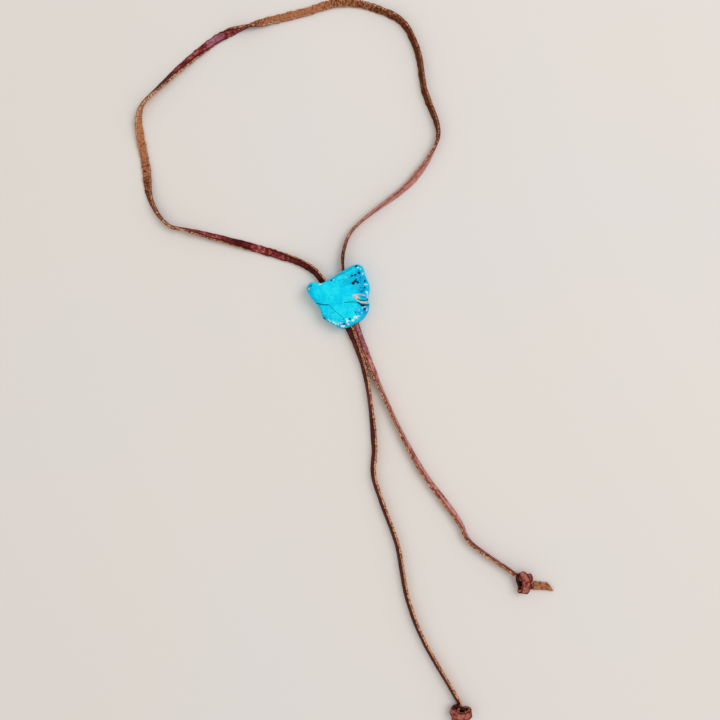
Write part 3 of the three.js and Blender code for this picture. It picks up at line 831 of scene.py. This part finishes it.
# What shows in the slab's face, in millimetres: cracks as lines with width, depth and darkness,
# then pits, chalky crumbs, tan host rock and deep blue as rows of spots, and one raised ring.
CRACKS = [
    ([(16.6, -4.4), (13.2, -4.6), (11.8, -4.2), (10.6, -3.4)], 0.42, 0.8, 1),
    ([(10.8, -3.5), (9.2, -3.0), (5.4, -3.0), (3.2, -3.3)], 0.28, 0.5, 0.8),
    ([(9.3, -2.4), (7.0, -2.3), (5.6, -2.0), (3.2, -1.8)], 0.22, 0.2, 0.5),
    ([(3.2, -3.3), (-1.2, -4.0), (-5.4, -4.4)], 0.20, 0.2, 0.35),
    ([(-5.4, -4.5), (-8.0, -4.5), (-11.4, -3.7)], 0.32, 0.5, 0.85),
    ([(-4.8, -4.6), (-2.8, -6.9), (-0.7, -8.7), (1.5, -10.3), (3.0, -11.9)], 0.26, 0.4, 0.62),
    ([(-4.9, -6.9), (-4.5, -9.5), (-3.9, -12.0)], 0.22, 0.2, 0.4),
    ([(-2.8, -8.5), (-1.5, -11.7)], 0.18, 0.15, 0.35),
    ([(-8.9, -0.8), (-8.6, -3.2)], 0.18, 0.12, 0.3),
    ([(-10.5, 5.4), (-10.2, 1.0), (-9.7, -3.6)], 0.2, 0.06, 0.36),
    ([(-0.5, 8.0), (4.6, 9.4), (7.0, 10.2)], 0.22, 0.2, 0.6),
    ([(-1.6, 10.6), (2.6, 12.0), (6.6, 13.4)], 0.2, 0.15, 0.45),
    ([(-4.6, 8.0), (2.0, 11.6), (9.6, 15.9)], 0.3, 0.1, 0.5),
    ([(0.8, 6.2), (4.0, 7.5), (6.2, 8.8)], 0.2, 0.1, 0.45),
    ([(10.6, -1.4), (11.6, -2.2), (13.9, -2.3), (15.9, -1.6)], 0.34, 0.5, 0.95),
    ([(11.2, 0.1), (12.4, -0.4), (14.2, -0.6), (15.6, -1.4)], 0.24, 0.15, 0.6),
]
PITS = [
    (7.8, 6.8, 1.0, 0.75, 0, 1), (8.9, 7.8, 0.9, 0.8, 20, 1), (10.1, 7.3, 0.7, 0.6, 20, 1),
    (9.3, 8.9, 0.35, 0.6, 20, 0.9), (7.2, 10.8, 0.7, 0.45, 15, 0.95), (8.9, 11.2, 0.7, 0.5, 20, 1),
    (10.8, 12.4, 0.8, 0.55, 50, 1), (10.4, 13.6, 0.5, 0.35, 50, 0.7), (11.6, 9.9, 0.7, 0.4, 40, 0.7),
    (5.8, 6.6, 0.9, 0.4, 10, 0.45), (13.8, 4.7, 0.5, 0.6, 0, 1), (13.9, 8.1, 0.4, 0.7, 10, 0.9),
    (9.4, 15.7, 1.0, 0.5, 25, 0.95), (2.6, 4.6, 0.35, 0.25, 0, 0.5), (-14.3, 5.4, 1.1, 0.5, 35, 0.7),
    (-15.3, 3.2, 0.4, 0.6, 10, 0.5), (-3.5, 8.4, 0.6, 0.45, 40, 0.9), (6.0, -11.9, 0.55, 0.5, 0, 1),
    (-7.4, -11.5, 1.1, 0.5, -45, 0.8), (3.0, -14.6, 0.6, 0.4, 0, 0.9), (13.8, -6.6, 0.9, 0.6, 40, 0.9),
    (9.0, -8.4, 0.7, 0.45, -40, 0.7), (12.6, -4.9, 1.3, 0.45, -15, 0.9), (2.6, -12.2, 0.8, 0.35, -40, 0.55),
    (10.4, -6.4, 0.6, 0.4, 0, 0.5), (15.4, -1.9, 0.6, 0.35, -20, 1), (-5.2, -13.0, 0.4, 0.35, 0, 0.8),
    (4.6, -15.2, 0.5, 0.35, 20, 0.7), (11.6, 7.2, 0.5, 0.4, 0, 0.5), (12.4, 6.0, 0.4, 0.5, 0, 0.45),
]
CHALK = [
    (10.4, 15.1, 0.8, 0.4, -20, 0.9), (11.8, 14.4, 0.6, 0.4, -40, 0.9), (13.2, 11.8, 0.6, 0.9, 20, 0.9),
    (14.1, 6.5, 0.4, 0.9, 10, 0.9), (15.1, 6.4, 0.35, 0.8, 20, 0.9), (14.9, 2.2, 0.8, 0.7, 0, 1),
    (15.3, 0.9, 0.6, 0.6, 0, 0.9), (4.2, -12.1, 0.8, 0.6, -20, 1), (4.9, -13.2, 1.2, 0.8, 40, 1),
    (9.2, -11.2, 1.6, 1.0, 40, 1), (7.7, -12.5, 1.2, 0.7, 30, 1), (11.0, -10.4, 0.9, 0.6, 30, 0.9),
    (11.0, -7.2, 0.4, 0.9, 20, 1), (13.6, -5.6, 1.3, 0.35, 30, 1), (14.9, -6.9, 0.35, 0.8, -20, 0.9),
    (-4.7, -12.9, 0.9, 0.5, -30, 1), (-1.5, -14.3, 1.6, 0.6, -25, 1), (2.4, -15.6, 1.5, 0.7, 0, 1),
    (4.8, -14.9, 0.9, 0.5, 20, 0.9), (-2.8, -13.3, 0.8, 0.4, -30, 0.8), (12.3, -8.6, 0.7, 0.35, 50, 0.8),
    (-2.6, 8.5, 1.0, 0.3, 0, 0.8), (-9.4, 6.4, 0.9, 0.35, 20, 0.9), (7.4, 7.1, 0.3, 0.25, 0, 0.8),
    (12.6, 12.8, 0.4, 0.3, 0, 0.7),
]
ROCK = [
    (8.9, -0.2, 1.4, 1.0, -30, 1), (10.2, -1.2, 1.2, 0.9, -45, 1), (12.6, -3.1, 1.7, 0.5, -8, 1),
    (15.0, -3.2, 1.4, 0.5, 5, 1), (10.6, 0.95, 1.5, 0.32, 3, 0.95), (13.2, 0.65, 1.5, 0.32, -12, 0.95),
    (15.4, -0.5, 1.0, 0.4, -48, 0.95), (1.1, -14.1, 1.3, 0.35, 5, 0.9), (-15.4, 3.8, 0.45, 0.6, 0, 0.7),
    (4.4, 9.9, 0.7, 0.3, 20, 0.6), (9.2, 7.2, 0.5, 0.3, 20, 1),
]
DEEP = [
    (12.0, 8.2, 2.6, 3.6, -25, 0.7), (12.4, 3.8, 1.8, 2.6, 0, 0.9), (10.6, 11.6, 2.4, 2.2, 30, 0.7),
    (13.2, -4.6, 2.2, 0.9, -10, 1), (14.2, -7.4, 1.8, 2.6, -15, 0.85), (11.4, -8.4, 2.0, 1.4, 40, 0.6),
    (3.4, -14.6, 2.2, 1.2, 0, 0.7), (0.8, -15.4, 1.5, 1.0, 0, 0.75), (-7.4, -11.4, 1.6, 1.0, -45, 0.6),
    (8.6, -13.8, 1.8, 0.8, 20, 0.4), (8.2, 10.6, 2.8, 1.2, 25, 0.6), (13.2, -0.2, 1.6, 0.7, -10, 0.8),
    (-14.6, 3.0, 0.9, 2.4, 15, 0.4), (-12.6, -1.6, 0.9, 2.6, 45, 0.4), (2.0, 12.4, 7.0, 0.6, 29, 0.5),
    (7.0, 8.0, 3.0, 1.2, 20, 0.4),
]
RING = [(-0.9, 8.5), (0.5, 7.3), (0.6, 5.4), (-0.2, 4.3), (-2.0, 4.6), (-3.2, 6.0), (-3.3, 7.7)]


def striations(x, y):
    """Shallow waves across the upper right of the face, from -1 to 1, and how strong they are."""
    lean = np.radians(29)
    stripe = y * np.cos(lean) - x * np.sin(lean)
    upper = smooth_step(1.5, 4.5, stripe) * smooth_step(-6, 0, x)
    return np.sin(stripe * 4.3 + 1.1 * np.sin(x * 0.7)), upper


def face_height(x, y, thickness):
    """Height in mm over the back.

    It is the lowest of the sawn face and its flanks, softly joined: minus the logarithm of the
    sum of each height's exponential, turned round. Facets, striations, cracks, pits, rock and
    the ring are then added to it or taken off. A crack's section is a bell curve.
    """
    heights = [np.full_like(x, thickness)]
    for (cx, cy), towards, slope, width in FLANKS:
        a = np.radians(towards)
        fall = (x - cx * 1e3) * np.cos(a) + (y - cy * 1e3) * np.sin(a)
        aside = (y - cy * 1e3) * np.cos(a) - (x - cx * 1e3) * np.sin(a)
        within = 1 - smooth_step(width * 400, width * 600, np.abs(aside))
        heights.append(thickness - np.maximum(fall, -3) * np.tan(np.radians(slope)) * within)
    soft = 0.28
    height = -soft * np.log(sum(np.exp(-(h - thickness) / soft) for h in heights)) + thickness
    height += soft * np.log(2) * 0.6
    broken = smooth_step(0.15, 1.2, thickness - height)

    # Facets: each place is on the tilted plane of the nearest of these scattered middles. They
    # hardly show where the face is polished.
    rng = np.random.default_rng(7)
    count = 150
    seeds = rng.uniform(-18, 18, (count, 2))
    away = (x[..., None] - seeds[:, 0]) ** 2 + (y[..., None] - seeds[:, 1]) ** 2
    tilt = rng.normal(0, 0.22, (2, count))
    planes = (x[..., None] - seeds[:, 0]) * tilt[0] + (y[..., None] - seeds[:, 1]) * tilt[1]
    share = np.exp(-(away - away.min(-1, keepdims=True)) / 0.5)
    facets = (planes * share).sum(-1) / share.sum(-1)
    height += facets * (0.12 + 0.88 * broken)

    waves, upper = striations(x, y)
    height += 0.07 * upper * waves
    for line, width, depth, _dark in CRACKS:
        away, share = line_distance(x, y, line)
        height -= depth * np.exp(-(away / width) ** 2) * smooth_step(0, 0.15, 1 - share * 0.9)
    pits = spots(x, y, PITS)
    height -= 0.9 * smooth_step(0.35, 0.95, pits)
    height += 0.35 * smooth_step(0.35, 0.9, spots(x, y, ROCK))
    away, _share = line_distance(x, y, RING)
    return height + 0.06 * np.exp(-(away / 0.3) ** 2)


def slab_shape(slab):
    """The slab's grid of places, ring by ring from the middle of the face out over the rim, down
    the wall and in across the back.

    A ring on the face is the outline drawn in towards the middle; its height is the face's,
    less a quarter circle of rounding near the rim. The wall runs straight down from there, a
    little rough, and the back is flat with a small rounding.
    """
    around = 420  # points in each ring
    at, _distance = even_spans(OUTLINE, 1e-3, closed=True)
    at = np.interp(np.linspace(0, 1, around + 1)[:-1], np.linspace(0, 1, len(at)), at)
    rim = spline(OUTLINE, at, closed=True) * 1e3
    middle = np.array([0.0, -1.0])
    reach = np.linalg.norm(rim - middle, axis=1)
    rounding = slab.rounding * 1e3 * (1 + 0.35 * drift(np.arange(around) / around, 0.07, 3))

    # The face, with its rings closer together where it rounds over.
    inner, outer = np.linspace(0.004, 0.9, 84), 0.1 * np.sin(np.linspace(0, np.pi / 2, 22))
    inwards = np.concatenate([inner, 0.9 + outer[1:]])[:, None]
    x = middle[0] + (rim[:, 0] - middle[0]) * inwards
    y = middle[1] + (rim[:, 1] - middle[1]) * inwards
    top = face_height(x, y, slab.thickness * 1e3)
    to_rim = (1 - inwards) * reach
    near = np.clip(1 - to_rim / rounding, 0, 1)
    top = top - rounding * (1 - np.sqrt(1 - near ** 2 * 0.995))

    # The wall, down to a low rim round the back, and roughest at half its height.
    down = np.linspace(0, 1, 16)[1:, None]
    low = 0.35
    wall_z = top[-1] * (1 - down) + low * down
    ragged = rough((15, around), (1.2, 3.0), 11) * 0.13 * np.sin(np.pi * down) ** 0.5
    out = unit(rim - middle)
    wall_x = rim[:, 0] + out[:, 0] * ragged
    wall_y = rim[:, 1] + out[:, 1] * ragged

    # The back, over a small rounding and in to the middle.
    back_in = np.array([0.985, 0.97, 0.9, 0.7, 0.45, 0.2, 0.004])[:, None]
    back_x = middle[0] + (rim[:, 0] - middle[0]) * back_in
    back_y = middle[1] + (rim[:, 1] - middle[1]) * back_in
    back_z = np.zeros_like(back_x)
    back_z[0] = 0.1
    x, y, z = (np.concatenate(parts) for parts in (
        (x, wall_x, back_x), (y, wall_y, back_y), (top, wall_z, back_z)))
    return x, y, z


def slab_finish(x, y, z, thickness):
    """How much of each finish shows: cracks and pits, chalk, host rock and deep blue.

    On the face it is what the tables say, with deeper blue also wherever the face lies lower than
    its full height: the broken flanks' own colour, and painted shade over the rounded rim. Down
    the walls and over the back the pattern goes on by chance.
    """
    veins = spots(x, y, PITS)
    for line, width, _depth, dark in CRACKS:
        away, _share = line_distance(x, y, line)
        veins = np.maximum(veins, dark * np.exp(-(away / width) ** 2))
    waves, upper = striations(x, y)
    veins = np.maximum(veins, 0.34 * upper * smooth_step(0.5, 1, -waves))
    below = 1 - smooth_step(0.35, 0.6, z / thickness)
    patch = rough(x.shape, (4, 9), 23)
    dots = rough(x.shape, (2, 4), 29)
    # Painted shade over the rounded rim, and the broken flanks' own deeper blue: deeper wherever the face
    # lies lower than its full height.
    rim_shade_and_flanks = 0.22 - 0.72 * (1 - smooth_step(0.1, 1.3, thickness - z))
    face = {"deep": np.maximum(spots(x, y, DEEP), rim_shade_and_flanks), "chalk": spots(x, y, CHALK),
            "rock": spots(x, y, ROCK)}
    wall = {"deep": 0.35 + 0.22 * patch, "chalk": 0.2 * dots, "rock": 0.05 + 0.17 * patch * dots}
    finish = {name: face[name] + (wall[name] - face[name]) * below for name in face}
    return {"veins": veins * (1 - 0.7 * below), **finish}


def hole_cutter(top, bottom):
    """A round bar along one hole's axis, reaching past both of its ends."""
    start, end = Vector((*bottom, HOLE_HEIGHT)), Vector((*top, HOLE_HEIGHT))
    along = end - start
    bpy.ops.mesh.primitive_cylinder_add(
        vertices=48, radius=HOLE_DIAMETER / 2, depth=along.length + 2 * HOLE_OVERRUN,
        location=(start + end) / 2, rotation=along.to_track_quat("Z", "Y").to_euler())
    return bpy.context.object


# ---------------------------------------------------------------- operators

class NECKLACE_OT_set_stage(bpy.types.Operator):
    """Set up the camera straight above, the pale surface and the soft lights"""

    bl_idname = "necklace.set_stage"
    bl_label = "Set the stage"

    def execute(self, context):
        stage = context.scene.necklace_stage
        camera_data = bpy.data.cameras.new("camera")
        camera_data.lens = stage.lens
        camera_data.sensor_width = 36
        camera_data.clip_start = 0.01
        camera = bpy.data.objects.new("camera", camera_data)
        camera.location = (0.0114, -0.0334, stage.camera_height)
        context.scene.collection.objects.link(camera)
        context.scene.camera = camera

        floor_mesh = bpy.data.meshes.new("surface")
        half_side = 3.0
        corners = np.array([(-1, -1), (1, -1), (1, 1), (-1, 1)]) * half_side
        floor_mesh.from_pydata(np.column_stack([corners, np.zeros(4)]), [], [(0, 1, 2, 3)])
        floor_mesh.materials.append(surface_material(stage.surface))
        floor = bpy.data.objects.new("surface", floor_mesh)
        context.scene.collection.objects.link(floor)

        # Each lamp's place, the side of its square and its power.
        lamps = (
            ("window", (0.95, 0.40, 1.45), 1.10, stage.key_power),
            ("reflector", (-1.2, -0.4, 1.2), 1.2, stage.key_power * 0.14),
        )
        for name, place, size, power in lamps:
            light = bpy.data.lights.new(name, "AREA")
            light.size = size
            light.energy = power
            light.color = linear("#f3f8ff")[:3]
            lamp = bpy.data.objects.new(name, light)
            lamp.location = place
            lamp.rotation_euler = (Vector((0, 0, 0)) - Vector(place)).to_track_quat(
                "-Z", "Y").to_euler()
            context.scene.collection.objects.link(lamp)

        world = bpy.data.worlds.new("studio")
        world.use_nodes = True
        world.node_tree.nodes.clear()
        background = add(world.node_tree, "ShaderNodeBackground", {
            "Color": linear("#fff7f0"), "Strength": stage.fill})
        add(world.node_tree, "ShaderNodeOutputWorld", {0: background.outputs[0]})
        context.scene.world = world
        context.scene.view_settings.view_transform = "Standard"
        return {"FINISHED"}


class NECKLACE_OT_lay_lace(bpy.types.Operator):
    """Lay the lace along its route, tie a knot in each end and raise its loose fibres"""

    bl_idname = "necklace.lay_lace"
    bl_label = "Lay and knot the lace"

    def execute(self, context):
        lace = context.scene.necklace_lace
        leather = leather_material(lace)
        place, width, distance = lying_lace(lace)
        free = leather_tube("lace", place, width, distance, lace, leather, seed=101)
        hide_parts("leather_lace")

        run, _grain, across = directions(place, width)
        ends = (("short_tail_knot", 0, -1, 211), ("long_tail_knot", -1, 1, 210))
        for name, end, outwards, seed in ends:
            line, widths, along, side = knot_line(
                name, place[end], run[end] * outwards, across[end] * outwards)
            slant = side * np.tan(np.radians(CUT_ANGLE))
            knot = leather_tube(
                f"{name}_leather", line, widths, distance[end] + outwards * along, lace,
                leather, seed, outwards, slant)
            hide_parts(name)

        stray_fibres(place, width, distance, lace, context.scene.necklace_fibres)
        return {"FINISHED"}


class NECKLACE_OT_carve_slab(bpy.types.Operator):
    """Carve the turquoise slab, drill its two holes and give it its finish"""

    bl_idname = "necklace.carve_slab"
    bl_label = "Carve the slab"

    def execute(self, context):
        slab = context.scene.necklace_slab
        x, y, z = slab_shape(slab)
        finish = slab_finish(x, y, z, slab.thickness * 1e3)
        vertices = np.stack([x, y, z], -1) * 1e-3
        rings, points = x.shape
        faces = tube_faces(rings, points)
        piece = make_piece("turquoise_slab", vertices, [face[::-1] for face in faces], 0,
                           {name: values[..., None] for name, values in finish.items()},
                           turquoise_material(slab))
        for top, bottom in HOLES:
            cutter = hole_cutter(top, bottom)
            cut = piece.modifiers.new("hole", "BOOLEAN")
            cut.operation = "DIFFERENCE"
            cut.solver = "EXACT"
            cut.object = cutter
            context.view_layer.objects.active = piece
            bpy.ops.object.modifier_apply(modifier=cut.name)
            bpy.data.objects.remove(cutter)
        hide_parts("turquoise_bead")
        return {"FINISHED"}


class NECKLACE_PT_panel(bpy.types.Panel):
    """Sizes, colours and making of the necklace"""

    bl_idname = "NECKLACE_PT_panel"
    bl_label = "Lariat necklace"
    bl_space_type = "VIEW_3D"
    bl_region_type = "UI"
    bl_category = "Necklace"

    def draw(self, context):
        for operator, settings in MAKING:
            box = self.layout.box()
            box.operator(operator)
            for name in settings:
                group = getattr(context.scene, name)
                for key in group.__annotations__:
                    box.prop(group, key)


# Each operator in the order of making, with the settings that it reads.
MAKING = (
    ("necklace.set_stage", ("necklace_stage",)),
    ("necklace.lay_lace", ("necklace_lace", "necklace_fibres")),
    ("necklace.carve_slab", ("necklace_slab",)),
)
SETTINGS = {
    "necklace_lace": LaceSettings,
    "necklace_fibres": FibreSettings,
    "necklace_slab": SlabSettings,
    "necklace_stage": StageSettings,
}
CLASSES = (
    *SETTINGS.values(), NECKLACE_OT_set_stage, NECKLACE_OT_lay_lace, NECKLACE_OT_carve_slab,
    NECKLACE_PT_panel,
)


def register():
    """Register the classes and hang each group of settings on the scene."""
    for cls in CLASSES:
        bpy.utils.register_class(cls)
    for name, group in SETTINGS.items():
        setattr(bpy.types.Scene, name, bpy.props.PointerProperty(type=group))


def unregister():
    """Take everything away again that register adds."""
    for name in SETTINGS:
        delattr(bpy.types.Scene, name)
    for cls in reversed(CLASSES):
        bpy.utils.unregister_class(cls)


def main():
    """Make the stage and the necklace."""
    register()
    bpy.ops.necklace.set_stage()
    bpy.ops.necklace.lay_lace()
    bpy.ops.necklace.carve_slab()


if __name__ == "__main__":
    main()
